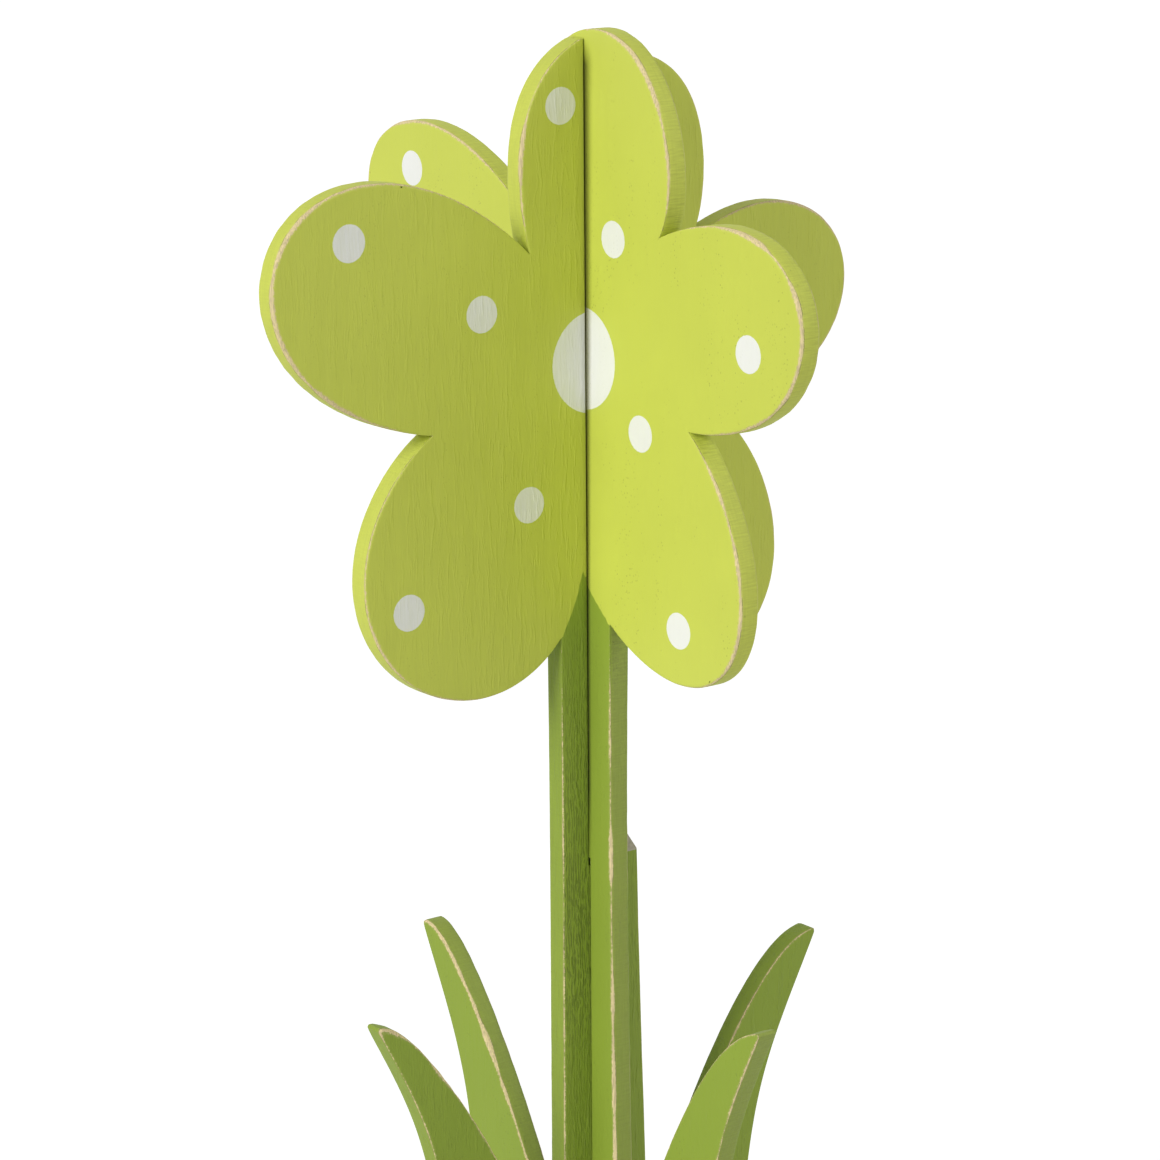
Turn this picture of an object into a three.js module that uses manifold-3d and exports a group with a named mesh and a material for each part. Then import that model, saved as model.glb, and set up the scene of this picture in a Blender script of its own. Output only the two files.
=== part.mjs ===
// A free-standing wooden flower, sawn from two flat boards that cross at right angles.
// The boards share one pattern. The base board has a slot that is open at the top and the cross
// board has one that is open at the bottom, so the cross board drops onto the base board.
// Millimetres, +Z up, origin on the floor where the boards cross. The base board lies in the XZ
// plane and the cross board in the YZ plane.
import * as THREE from "three";
import { mergeVertices } from "three/addons/utils/BufferGeometryUtils.js";
import Module from "manifold-3d";

// The boards and the slots in which they cross. Each clearance is counted on one side of the other
// board: the cross board's slot holds the base board snugly, and the base board's is looser.
const boardThickness = 9;
const baseSlotClearance = 1.1;
const crossSlotClearance = 0.3;
const slotLevel = 318.2;
const slotEndGap = 3;

// The flower head: egg-shaped petals round a heart. A petal's middle lies at a reach from the heart
// along a bearing, its long axis is turned by its lean, both counted from level and to the right,
// and its swell makes the outer end broader than the inner one. The boards were sawn freehand
// along one pattern, so each has its own petals: five on the cross board, and on the base board
// three on each side of the slot, where the top petal's two sides don't quite match. Their reach,
// length and width are shares of the pattern's.
const heartHeight = 515.7;
const heartRadius = 45;
const petalReach = 75;
const petalLength = 120;
const petalWidth = 85;
const basePetals = {
  left: [
    { bearing: 81.6, reach: 0.829, lean: 79.5, length: 1.021, width: 1.041, swell: 0.28 },
    { bearing: 162.8, reach: 1.053, lean: 157.3, length: 1.182, width: 1.009, swell: 0.15 },
    { bearing: 231.5, reach: 1.136, lean: 245.8, length: 0.952, width: 1.199, swell: 0.08 },
  ],
  right: [
    { bearing: 77.8, reach: 0.933, lean: 113.7, length: 0.746, width: 0.931, swell: 0.16 },
    { bearing: 8, reach: 0.913, lean: 18.6, length: 0.976, width: 0.881, swell: 0.13 },
    { bearing: 298.1, reach: 1.071, lean: 307.2, length: 1.002, width: 1.087, swell: -0.02 },
  ],
};
const crossHeadRise = 5.7;
const crossPetals = [
  { bearing: 79.8, reach: 0.988, lean: 132.6, length: 0.753, width: 0.944, swell: 0.15 },
  { bearing: 161.4, reach: 1.024, lean: 152.1, length: 1.195, width: 0.933, swell: 0.07 },
  { bearing: 10.8, reach: 0.899, lean: 10.6, length: 1.027, width: 0.874, swell: 0.18 },
  { bearing: 231.5, reach: 1.136, lean: 245.7, length: 0.953, width: 1.198, swell: 0.08 },
  { bearing: 302.3, reach: 1.039, lean: 312.3, length: 1.048, width: 1.081, swell: -0.07 },
];

// The stem, measured from the crossing line to each side, at the head and at the leaf forks.
const stemLeftHalf = 17.2;
const stemRightHalf = 17.8;
const forkLeftHalf = 17.8;
const crossForkRightHalf = 20.6;
const baseForkRightHalf = 24.6;

// The base board's right-hand stem half: a slim rail beside the slot, and under it a shoulder that
// was sawn off at a slant through the board's thickness.
const railHalf = 14;
const shoulderHalf = 19;
const shoulderSlant = 41;

// The leaves: curved blades that grow out of the foot. A leaf's front and back run to one point,
// which is rounded off. The slopes are counted from level. Each leaf is set by itself, because the
// leaves were sawn freehand: its out, up and backPull are shares of the pattern's.
const forkHeight = 135.4;
const footHalf = 70;
const leafReach = 108;
const leafHeight = 270;
const leafBackPull = 35;
const leaves = {
  base: {
    left: { out: 0.956, up: 1.01, backSlope: 8.7, backPull: 0.811 },
    right: { out: 1.034, up: 0.987, backSlope: 6, backPull: 1.126 },
  },
  cross: {
    left: { out: 1.01, up: 0.979, backSlope: -1.3, backPull: 0.823 },
    right: { out: 0.99, up: 1.028, backSlope: 15.8, backPull: 1.214 },
  },
};
const leafFrontSlope = 63.3;
const leafFrontPull = 73.2;
const leafFootPull = 199.5;
const leafForkRun = 5;
const leafForkRise = 20;
const leafTipTrim = 3;

// How finely the curves are stepped.
const petalSteps = 72;
const leafSteps = 16;

// The paint.
const basePaint = 0xb9c352;
const crossPaint = 0xcdd75b;
const paintRoughness = 0.65;

const wasm = await Module();
wasm.setup();

const radians = THREE.MathUtils.degToRad;

// A three.js geometry as a manifold-3d solid.
function toSolid(geometry) {
  geometry.deleteAttribute("normal");
  geometry.deleteAttribute("uv");
  const merged = mergeVertices(geometry, 1e-4);
  return new wasm.Manifold(
    new wasm.Mesh({
      numProp: 3,
      vertProperties: merged.attributes.position.array,
      triVerts: new Uint32Array(merged.index.array),
    }),
  );
}

// A manifold-3d solid as a three.js geometry.
function toGeometry(solid) {
  const mesh = solid.getMesh();
  const geometry = new THREE.BufferGeometry();
  geometry.setAttribute("position", new THREE.BufferAttribute(mesh.vertProperties, 3));
  geometry.setIndex(new THREE.BufferAttribute(mesh.triVerts, 1));
  geometry.computeVertexNormals();
  return geometry;
}

// A flat outline, drawn with x to the right and y up, as an upright board in the XZ plane with its
// thickness centred on y = 0.
function sawn(shape, curveSteps = leafSteps) {
  const geometry = new THREE.ExtrudeGeometry(shape, {
    depth: boardThickness,
    bevelEnabled: false,
    curveSegments: curveSteps,
  });
  geometry.translate(0, 0, -boardThickness / 2);
  geometry.rotateX(Math.PI / 2);
  return toSolid(geometry);
}

// An upright block between two corners.
function block(low, high) {
  const geometry = new THREE.BoxGeometry(high.x - low.x, high.y - low.y, high.z - low.z);
  geometry.translate((low.x + high.x) / 2, (low.y + high.y) / 2, (low.z + high.z) / 2);
  return toSolid(geometry);
}

// An egg-shaped petal about a heart at the given height.
function petalShape({ bearing, reach, lean, length, width, swell }, heart) {
  const middle = new THREE.Vector2(reach * petalReach, 0)
    .rotateAround(new THREE.Vector2(), radians(bearing))
    .add(new THREE.Vector2(0, heart));
  const points = [];
  for (let i = 0; i < petalSteps; i++) {
    const angle = (2 * Math.PI * i) / petalSteps;
    const along = Math.cos(angle);
    const across = Math.sin(angle) * (1 + swell * along);
    const point = new THREE.Vector2(
      (along * length * petalLength) / 2,
      (across * width * petalWidth) / 2,
    );
    points.push(point.rotateAround(new THREE.Vector2(), radians(lean)).add(middle));
  }
  return new THREE.Shape(points);
}

// The petals joined to a round heart.
function head(petals, heart) {
  const disc = new THREE.Shape();
  disc.absarc(0, heart, heartRadius, 0, 2 * Math.PI);
  return petals.reduce(
    (solid, petal) => solid.add(sawn(petalShape(petal, heart))),
    sawn(disc, petalSteps / 2),
  );
}

// One side of the stem and its leaf, drawn from the heart down to the foot's corner. side is -1
// on the left and 1 on the right.
function drawSide(shape, side, leaf, forkHalf, stemEdge) {
  const tip = new THREE.Vector2(leaf.out * leafReach, leaf.up * leafHeight);
  const along = (slope, length) =>
    new THREE.Vector2(-length, 0).rotateAround(new THREE.Vector2(), radians(slope)).add(tip);
  const curve = (...points) => points.flatMap((point) => [side * point.x, point.y]);
  for (const [out, up] of stemEdge) shape.lineTo(side * out, up);
  shape.lineTo(side * forkHalf, forkHeight);
  shape.bezierCurveTo(
    ...curve(
      new THREE.Vector2(forkHalf + leafForkRun, forkHeight + leafForkRise),
      along(leaf.backSlope, leaf.backPull * leafBackPull),
      along(leaf.backSlope, leafTipTrim),
    ),
  );
  shape.quadraticCurveTo(...curve(tip, along(leafFrontSlope, leafTipTrim)));
  shape.bezierCurveTo(
    ...curve(
      along(leafFrontSlope, leafFrontPull),
      new THREE.Vector2(footHalf, leafFootPull),
      new THREE.Vector2(footHalf, 0),
    ),
  );
}

// The stem, both leaves and the foot as two halves that meet on the crossing line.
function stalk({ left, right }, heart) {
  const halves = [
    { side: -1, ...left },
    { side: 1, ...right },
  ].map(({ side, leaf, forkHalf, stemEdge }) => {
    const shape = new THREE.Shape();
    shape.moveTo(0, heart);
    drawSide(shape, side, leaf, forkHalf, stemEdge);
    shape.lineTo(0, 0);
    return sawn(shape);
  });
  return halves[0].add(halves[1]);
}

const baseSlotHalf = boardThickness / 2 + baseSlotClearance;
const crossSlotHalf = boardThickness / 2 + crossSlotClearance;
const farOff = 2 * heartHeight;
const leftStem = [
  [stemLeftHalf, heartHeight],
  [stemLeftHalf, slotLevel],
];

// All that lies on one side of the crossing line. side is -1 on the left and 1 on the right.
function flank(side) {
  return block(
    { x: Math.min(0, side * farOff), y: -boardThickness, z: 0 },
    { x: Math.max(0, side * farOff), y: boardThickness, z: farOff },
  );
}

// The board that stands: its slot is open at the top.
function baseBoard() {
  const shoulderRise = boardThickness * Math.tan(radians(shoulderSlant));
  const sides = {
    left: { leaf: leaves.base.left, forkHalf: forkLeftHalf, stemEdge: leftStem },
    right: {
      leaf: leaves.base.right,
      forkHalf: baseForkRightHalf,
      stemEdge: [
        [railHalf, heartHeight],
        [railHalf, slotLevel + shoulderRise],
        [shoulderHalf, slotLevel + shoulderRise],
        [shoulderHalf, slotLevel],
      ],
    },
  };
  // The slant rises from the front face to the back face.
  const overhang = boardThickness / 10;
  const slope = shoulderRise / boardThickness;
  const wedge = new THREE.Shape();
  wedge.moveTo(-boardThickness / 2 - overhang, slotLevel - overhang * slope);
  wedge.lineTo(boardThickness / 2 + overhang, slotLevel + shoulderRise + overhang * slope);
  wedge.lineTo(-boardThickness / 2 - overhang, slotLevel + shoulderRise + overhang * slope);
  const cutter = new THREE.ExtrudeGeometry(wedge, { depth: shoulderHalf, bevelEnabled: false });
  cutter.rotateX(Math.PI / 2);
  cutter.rotateZ(Math.PI / 2);
  cutter.translate(railHalf, 0, 0);
  const slot = block(
    { x: -baseSlotHalf, y: -boardThickness, z: slotLevel - slotEndGap / 2 },
    { x: baseSlotHalf, y: boardThickness, z: farOff },
  );
  return stalk(sides, heartHeight)
    .subtract(toSolid(cutter))
    .add(head(basePetals.left, heartHeight).subtract(flank(1)))
    .add(head(basePetals.right, heartHeight).subtract(flank(-1)))
    .subtract(slot);
}

// The board that drops on: its slot is open at the bottom, and its head sits a little higher.
function crossBoard() {
  const heart = heartHeight + crossHeadRise;
  const sides = {
    left: { leaf: leaves.cross.left, forkHalf: forkLeftHalf, stemEdge: leftStem },
    right: {
      leaf: leaves.cross.right,
      forkHalf: crossForkRightHalf,
      stemEdge: [
        [stemRightHalf, heart],
        [stemRightHalf, slotLevel],
      ],
    },
  };
  const slot = block(
    { x: -crossSlotHalf, y: -boardThickness, z: -boardThickness },
    { x: crossSlotHalf, y: boardThickness, z: slotLevel + slotEndGap / 2 },
  );
  return stalk(sides, heart).add(head(crossPetals, heart)).subtract(slot);
}

function board(name, solid, color) {
  const material = new THREE.MeshStandardMaterial({ color, roughness: paintRoughness, metalness: 0 });
  const mesh = new THREE.Mesh(toGeometry(solid), material);
  mesh.name = name;
  return mesh;
}

const flower = new THREE.Group();
flower.add(board("base_board", baseBoard(), basePaint));

// The cross board's right-hand side points along -Y.
const cross = board("cross_board", crossBoard(), crossPaint);
cross.rotation.z = -Math.PI / 2;
flower.add(cross);

export default flower;
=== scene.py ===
"""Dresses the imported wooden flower: two slotted boards in sanded brush paint, and their stage.

The CAD model is the frame. Each board's outline is read from its CAD node, and everything else is
made here. Lengths are millimetres in the board's own pattern and metres in the frame.
"""
import math

import bmesh
import bpy
import numpy as np
from mathutils import Matrix, Vector
from mathutils.geometry import delaunay_2d_cdt


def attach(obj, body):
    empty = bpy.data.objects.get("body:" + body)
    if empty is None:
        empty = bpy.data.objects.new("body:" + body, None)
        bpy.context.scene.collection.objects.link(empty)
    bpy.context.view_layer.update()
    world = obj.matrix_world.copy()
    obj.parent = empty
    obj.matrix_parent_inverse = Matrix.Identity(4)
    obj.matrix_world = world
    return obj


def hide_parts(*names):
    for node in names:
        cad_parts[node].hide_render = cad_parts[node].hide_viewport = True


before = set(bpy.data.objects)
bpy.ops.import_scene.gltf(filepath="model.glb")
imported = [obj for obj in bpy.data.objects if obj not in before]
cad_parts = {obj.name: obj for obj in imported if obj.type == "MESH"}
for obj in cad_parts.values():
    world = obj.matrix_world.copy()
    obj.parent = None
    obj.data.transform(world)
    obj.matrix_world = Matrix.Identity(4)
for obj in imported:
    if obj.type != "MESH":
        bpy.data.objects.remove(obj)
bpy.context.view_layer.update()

bl_info = {
    "name": "Wooden Flower",
    "version": (1, 0, 0),
    "blender": (4, 5, 0),
    "location": "3D View > Sidebar > Flower",
    "description": "Makes the painted boards of a slotted wooden flower and the stage it stands on",
    "category": "Add Mesh",
}

MM = 0.001

# Each board is worked on in its own pattern: across counts to the right from the crossing line,
# depth runs from the front face to the back face, and up counts from the floor.
FULL_HEIGHT = 639.3
HEART_UP = 515.7

# The small dots that both boards have.
DOTS = [
    (-52.6, 537.9),
    (-15.8, 611.4),
    (-31.9, 463.6),
    (-87.3, 430.8),
    (21.0, 557.1),
    (98.5, 524.9),
    (36.8, 486.5),
    (59.2, 415.8),
]

# What differs between the boards. rise is how much higher the pattern sits, and line_rise how much
# the painted edge of the head rises across the stem. The entry for the corner is the share of light
# that the painted shade in the boards' inner corner keeps. A wear is a share of the full wear, and
# the others say how much a mark shows.
BOARDS = {
    "base_board": {
        "turn": 0.0,
        "rise": 0.0,
        # The two lower petals: bearing, reach, lean, length, width and swell.
        "lower_petals": [
            (231.5, 85.2, 245.8, 114.2, 101.9, 0.08),
            (298.1, 80.3, 307.2, 120.2, 92.4, -0.02),
        ],
        "heart_dot": (-0.9, 514.4),
        "left_dot": (-110.4, 569.6),
        "slot_half": 5.6,
        # By how much the slot is narrower on each side: at its lower end, then at its top.
        "slot_closed": (0.85, 0.65),
        # How much further out the tips of the left and the right leaf reach than in the CAD.
        "leaf_stretch": (1.9, 1.2),
        "line_rise": 2.4,
        "grain": 1.0,
        "scratches": 1.0,
        "saw_lines": 0.35,
        "pores": 0.4,
        "painted_corner_shade": 1.0,
        "thin_edges": 0.0,
        "top_wear": 0.4,
        "side_wear": 1.05,
        "stem_wear": 0.34,
        # The left leaf's inner and outer side, then the right leaf's.
        "leaf_wear": (1.5, 0.3, 0.42, 0.15),
        "seed": 3,
    },
    "cross_board": {
        "turn": -90.0,
        "rise": 5.7,
        "lower_petals": [
            (231.5, 85.2, 245.7, 114.4, 101.8, 0.08),
            (302.3, 77.9, 312.3, 125.8, 91.9, -0.07),
        ],
        "heart_dot": (2.2, 516.0),
        "left_dot": (-107.5, 570.8),
        "slot_half": 4.8,
        "slot_closed": (0.0, 0.0),
        "leaf_stretch": (1.1, 0.0),
        "line_rise": 0.0,
        "grain": 0.22,
        "scratches": 0.0,
        "saw_lines": 1.0,
        "pores": 1.0,
        "painted_corner_shade": 0.14,
        "thin_edges": 0.08,
        "top_wear": 1.0,
        "side_wear": 1.3,
        "stem_wear": 0.85,
        "leaf_wear": (1.4, 0.15, 0.4, 0.45),
        "seed": 11,
    },
}

# The base board's slot ends at this level. The shoulder beside it was sawn off at a slant.
SLOT_LEVEL = 318.2
SLOT_MARGIN = 0.3
SHOULDER_INNER = 14.0
SHOULDER_OUTER = 19.0
SHOULDER_SLANT = 37.0
SHOULDER_LIFT = 0.7
SHOULDER_REACH = 30.0
SHOULDER_START = 7.0
SHOULDER_FADE = 5.0
ON_LINE = 0.05

# The leaves lie outside LEAF_INNER and below LEAF_TOP, and are stretched over LEAF_BEND.
LEAF_INNER = 24.0
LEAF_TOP = 300.0
LEAF_BEND = (190.0, 285.0)

# The painted edge of the head lies at least this far below the heart. It rises across the stem.
EDGE_BELOW_HEART = 60.0
EDGE_RISE_HALF = 18.0
EDGE_RISE_FADE = 12.0

# How finely a board is meshed.
OUTLINE_STEP = 1.5
CORNER_TURN = 20.0
FACE_ROWS = ((1.8, 1), (2.8, 1), (4.5, 2), (7.5, 4))
FACE_GRID = 7.0
CORNER_ANGLES = (0.0, 30.0, 60.0, 90.0)
EDGE_ROWS = (-0.25, 0.0, 0.25)
LEAST_RADIUS = 0.3
RIM_REACH = 1.5

# The corners near a notch are out of the sanding block's reach: wholly for the first few
# millimetres, partly up to NOTCH_SHELTER, and LOW_SHELTER further between the lower petals.
NOTCH_UNTOUCHED = 4.0
NOTCH_SHELTER = 24.0
LOW_SHELTER = 14.0

# Where on the pattern the wear changes: levels between which it grows, and distances across.
LOWER_PETALS = (500.0, 460.0)
TOP_PETAL = (600.0, 615.0)
STEM_WEAR_RUN = (400.0, 310.0)
SIDE_PETALS = 60.0
STEM_SPAN = 22.0
SLOT_WEAR = 0.1
FOOT_WEAR = 0.3

# The camera stands where the photograph was taken from.
CAMERA_PLACE = (-0.83865, -1.08886, 0.76491)
CAMERA_AZIMUTH = -37.604
CAMERA_YAW = 0.158
CAMERA_PITCH = 13.732
CAMERA_ROLL = -0.385
CAMERA_LENS = 114.93
CAMERA_SENSOR = 36.0

FLOOR_REACH = 40.0


def linear(code):
    """An sRGB hex colour as the linear values that Blender works with."""
    parts = [int(code[i : i + 2], 16) / 255 for i in (1, 3, 5)]
    return tuple(p / 12.92 if p <= 0.04045 else ((p + 0.055) / 1.055) ** 2.4 for p in parts)


class FlowerPaint(bpy.types.PropertyGroup):
    """The colours and sizes of the paint and its wear."""

    lime: bpy.props.FloatVectorProperty(
        name="Lime",
        description="Paint of the petals",
        subtype="COLOR",
        min=0,
        max=1,
        default=linear("#cfd857"),
    )
    leaf_green: bpy.props.FloatVectorProperty(
        name="Leaf green",
        description="Paint of the stem and the leaves",
        subtype="COLOR",
        min=0,
        max=1,
        default=linear("#8fa534"),
    )
    dot_white: bpy.props.FloatVectorProperty(
        name="Dot white",
        description="Paint of the dots",
        subtype="COLOR",
        min=0,
        max=1,
        default=linear("#f4f5f1"),
    )
    bare_wood: bpy.props.FloatVectorProperty(
        name="Bare wood",
        description="Wood that shows where a corner is sanded through",
        subtype="COLOR",
        min=0,
        max=1,
        default=linear("#efdba6"),
    )
    dot_radius: bpy.props.FloatProperty(
        name="Dot radius",
        description="Radius of the small dots",
        subtype="DISTANCE",
        unit="LENGTH",
        min=0.001,
        default=6.9 * MM,
    )
    heart_dot_radius: bpy.props.FloatProperty(
        name="Heart dot radius",
        description="Radius of the big dot in the middle of the flower head",
        subtype="DISTANCE",
        unit="LENGTH",
        min=0.001,
        default=19.5 * MM,
    )
    worn_width: bpy.props.FloatProperty(
        name="Worn width",
        description="Greatest width of the bare strip along a sanded corner",
        subtype="DISTANCE",
        unit="LENGTH",
        min=0,
        default=2.5 * MM,
    )
    corner_radius: bpy.props.FloatProperty(
        name="Corner radius",
        description="Radius to which the most exposed corners are sanded round",
        subtype="DISTANCE",
        unit="LENGTH",
        min=0.0002,
        max=0.003,
        default=1.3 * MM,
    )
    corner_chips: bpy.props.FloatProperty(
        name="Corner chips",
        description="How deep the uneven sanding eats into a corner",
        subtype="DISTANCE",
        unit="LENGTH",
        min=0,
        max=0.001,
        default=0.25 * MM,
    )


class FlowerStage(bpy.types.PropertyGroup):
    """The floor and the light."""

    floor_colour: bpy.props.FloatVectorProperty(
        name="Floor",
        description="Colour of the floor",
        subtype="COLOR",
        min=0,
        max=1,
        default=linear("#f2f2f2"),
    )
    key_light: bpy.props.FloatProperty(
        name="Key light",
        description="Strength of the soft light from the left",
        min=0,
        default=0.645,
    )
    front_light: bpy.props.FloatProperty(
        name="Front light",
        description="Strength of the softer light from the front right",
        min=0,
        default=0.22,
    )
    fill_light: bpy.props.FloatProperty(
        name="Fill light",
        description="Strength of the light from all round",
        min=0,
        default=0.25,
    )


def add(tree, kind, feeds, out=0, **settings):
    """Adds a node with its settings and what feeds its inputs, and returns one of its outputs."""
    node = tree.nodes.new(kind)
    for name, value in settings.items():
        setattr(node, name, value)
    for key, value in feeds.items():
        if isinstance(value, bpy.types.NodeSocket):
            tree.links.new(value, node.inputs[key])
        else:
            node.inputs[key].default_value = value
    return node.outputs[out] if node.outputs else node


def empty_tree(owner):
    """The node tree of a new material or world, without the nodes that it starts with."""
    owner.use_nodes = True
    owner.node_tree.nodes.clear()
    return owner.node_tree


def front_outline(name, turn):
    """A board's front face as one closed anticlockwise loop of (across, up), from its CAD node."""
    cad = bmesh.new()
    cad.from_mesh(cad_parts[name].data)
    bmesh.ops.remove_doubles(cad, verts=cad.verts, dist=MM * 0.001)
    cad.transform(turn.inverted())
    front = min(v.co.y for v in cad.verts)
    face = {f for f in cad.faces if all(v.co.y < front + MM * 0.01 for v in f.verts)}
    after = {}
    for loop in (loop for f in face for loop in f.loops):
        if sum(f in face for f in loop.edge.link_faces) == 1:
            after[loop.vert] = loop.link_loop_next.vert
    here = min(after, key=lambda v: (round(v.co.z, 5), v.co.x))
    points = []
    while here in after:
        points.append((here.co.x / MM, here.co.z / MM))
        here = after.pop(here)
    thickness = -2 * front / MM
    cad.free()
    if after:
        raise RuntimeError(f"{name}: the front face has more than one outline")
    return np.array(points), thickness


def turns_of(points):
    """The angle in degrees by which a closed loop turns at each point; left is positive."""
    before = points - np.roll(points, 1, axis=0)
    behind = np.roll(points, -1, axis=0) - points
    cross = before[:, 0] * behind[:, 1] - before[:, 1] * behind[:, 0]
    return np.degrees(np.arctan2(cross, (before * behind).sum(axis=1)))


def smooth_run(points):
    """Evenly spaced points along a smooth curve through the given ones, without its last point."""
    padded = np.vstack([2 * points[0] - points[1], points, 2 * points[-1] - points[-2]])
    knots = np.concatenate([[0], np.cumsum(np.linalg.norm(np.diff(padded, axis=0), axis=1) ** 0.5)])
    fine = []
    for i in range(1, len(padded) - 2):
        t = np.linspace(knots[i], knots[i + 1], 12, endpoint=False)[:, None]
        t0, t1, t2, t3 = knots[i - 1 : i + 3]
        p0, p1, p2, p3 = padded[i - 1 : i + 3]
        a1 = (t1 - t) / (t1 - t0) * p0 + (t - t0) / (t1 - t0) * p1
        a2 = (t2 - t) / (t2 - t1) * p1 + (t - t1) / (t2 - t1) * p2
        a3 = (t3 - t) / (t3 - t2) * p2 + (t - t2) / (t3 - t2) * p3
        b1 = (t2 - t) / (t2 - t0) * a1 + (t - t0) / (t2 - t0) * a2
        b2 = (t3 - t) / (t3 - t1) * a2 + (t - t1) / (t3 - t1) * a3
        fine.append((t2 - t) / (t2 - t1) * b1 + (t - t1) / (t2 - t1) * b2)
    fine = np.vstack([*fine, points[-1:]])
    run = np.concatenate([[0], np.cumsum(np.linalg.norm(np.diff(fine, axis=0), axis=1))])
    count = max(1, round(run[-1] / OUTLINE_STEP))
    at = np.linspace(0, run[-1], count, endpoint=False)
    return np.column_stack([np.interp(at, run, fine[:, k]) for k in (0, 1)])


def even_outline(points):
    """The outline with smooth curves between its corners, and which of its points are corners."""
    corners = np.flatnonzero(np.abs(turns_of(points)) > CORNER_TURN)
    low, high = points.min(axis=0), points.max(axis=0)
    runs = []
    is_corner = []
    for start, end in zip(corners, np.roll(corners, -1)):
        count = (end - start) % len(points) or len(points)
        run = smooth_run(points[(start + np.arange(count + 1)) % len(points)])
        runs.append(run)
        is_corner += [True] + [False] * (len(run) - 1)
    return np.clip(np.vstack(runs), low, high), np.array(is_corner)


def inward_of(outline):
    """At each point of the outline, the way into the wood by which all its sides move in by 1."""
    edge = np.roll(outline, -1, axis=0) - outline
    edge /= np.linalg.norm(edge, axis=1, keepdims=True)
    side = np.column_stack([-edge[:, 1], edge[:, 0]])
    middle = side + np.roll(side, 1, axis=0)
    middle /= np.maximum(np.linalg.norm(middle, axis=1, keepdims=True), 1e-6)
    return middle / np.maximum((middle * side).sum(axis=1, keepdims=True), 0.4)


def nearest_on(outline, points):
    """How far each point is from the outline, and the outline's nearest point."""
    ends = np.roll(outline, -1, axis=0)
    along = ends - outline
    length = (along**2).sum(axis=1)
    far, which = [], []
    for part in np.array_split(points, len(points) // 400 + 1):
        away = part[:, None, :] - outline[None, :, :]
        share = np.clip((away * along).sum(axis=2) / length, 0, 1)
        gap = np.linalg.norm(away - share[..., None] * along, axis=2)
        best = gap.argmin(axis=1)
        far.append(gap[np.arange(len(part)), best])
        which.append(best)
    return np.concatenate(far), np.concatenate(which)


def past_petal(points, petal, heart_up):
    """How far points lie outside one egg-shaped petal; inside it the distance is negative."""
    bearing, reach, lean, length, width, swell = petal
    angle = math.radians(bearing)
    middle = np.array([reach * math.cos(angle), heart_up + reach * math.sin(angle)])
    c, s = math.cos(math.radians(lean)), math.sin(math.radians(lean))
    own = (points - middle) @ np.array([[c, -s], [s, c]])
    x, y = own[:, 0] / (length / 2), own[:, 1] / (width / 2)
    size = np.hypot(x, y)
    for _ in range(4):
        size = np.hypot(x, y / (1 + swell * x / np.maximum(size, 0.2)))
    return np.linalg.norm(own, axis=1) * (1 - 1 / np.maximum(size, 0.05))


def past_head(points, board):
    """How far points lie below the painted edge of the flower head; above it this is negative.

    The painted edge follows the lower petals, and across the stem it rises a little above them.
    """
    heart_up = HEART_UP + board["rise"]
    apart = [past_petal(points, petal, heart_up) for petal in board["lower_petals"]]
    across, up = points.T
    rise = board["line_rise"] * np.clip((EDGE_RISE_HALF - np.abs(across)) / EDGE_RISE_FADE, 0, 1)
    return np.minimum(np.min(apart, axis=0) + rise, heart_up - EDGE_BELOW_HEART - up)


def soft_step(value, low, high):
    """0 below low, 1 above high and a smooth rise between."""
    share = np.clip((value - low) / (high - low), 0, 1)
    return share * share * (3 - 2 * share)


def exposure_of(outline, is_corner, inward, board):
    """How well the sanding block reached each corner point, and how far round that point lies.

    The reach is 0 in the notches, little in the slot and 1 or more on the outermost corners.
    """
    step = np.linalg.norm(outline - np.roll(outline, 1, axis=0), axis=1)
    run = np.cumsum(step)
    notch = run[is_corner & (turns_of(outline) < -CORNER_TURN)]
    apart = np.abs(run[:, None] - notch[None, :])
    apart = np.minimum(apart, run[-1] - apart).min(axis=1)
    across, up = outline.T
    low = soft_step(up, *LOWER_PETALS)
    untouched = NOTCH_UNTOUCHED + 0.6 * LOW_SHELTER * low
    shown = soft_step(apart, untouched, NOTCH_SHELTER + LOW_SHELTER * low)
    # On the head the sides of the petals that look away from the stem were sanded best, and the
    # lower petals least.
    looks_out = -inward[:, 0] * np.sign(across)
    head = 0.45 + 0.55 * soft_step(looks_out, -0.15, 0.3)
    head *= np.where(np.abs(across) > SIDE_PETALS, board["side_wear"], 1) * (1 - 0.4 * low)
    head *= 1 - (1 - board["top_wear"]) * soft_step(up, *TOP_PETAL)
    # On the stem the wear grows downwards.
    stem = board["stem_wear"] * (0.6 + 0.5 * soft_step(up, *STEM_WEAR_RUN))
    left_in, left_out, right_in, right_out = board["leaf_wear"]
    left_leaf = np.where(looks_out > 0, left_out, left_in)
    right_leaf = np.where(looks_out > 0, right_out, right_in)
    leaf = np.where(across < 0, left_leaf, right_leaf)
    below_head = np.where(np.abs(across) < STEM_SPAN, stem, leaf)
    shown *= np.where(past_head(outline, board) < 2, head, below_head)
    shown = sum(np.roll(shown, k) for k in range(-4, 5)) / 9
    in_slot = np.abs(across) < board["slot_half"] + SLOT_MARGIN
    return np.where(in_slot, SLOT_WEAR, np.where(up < 0.5, FOOT_WEAR, shown)), run


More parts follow.
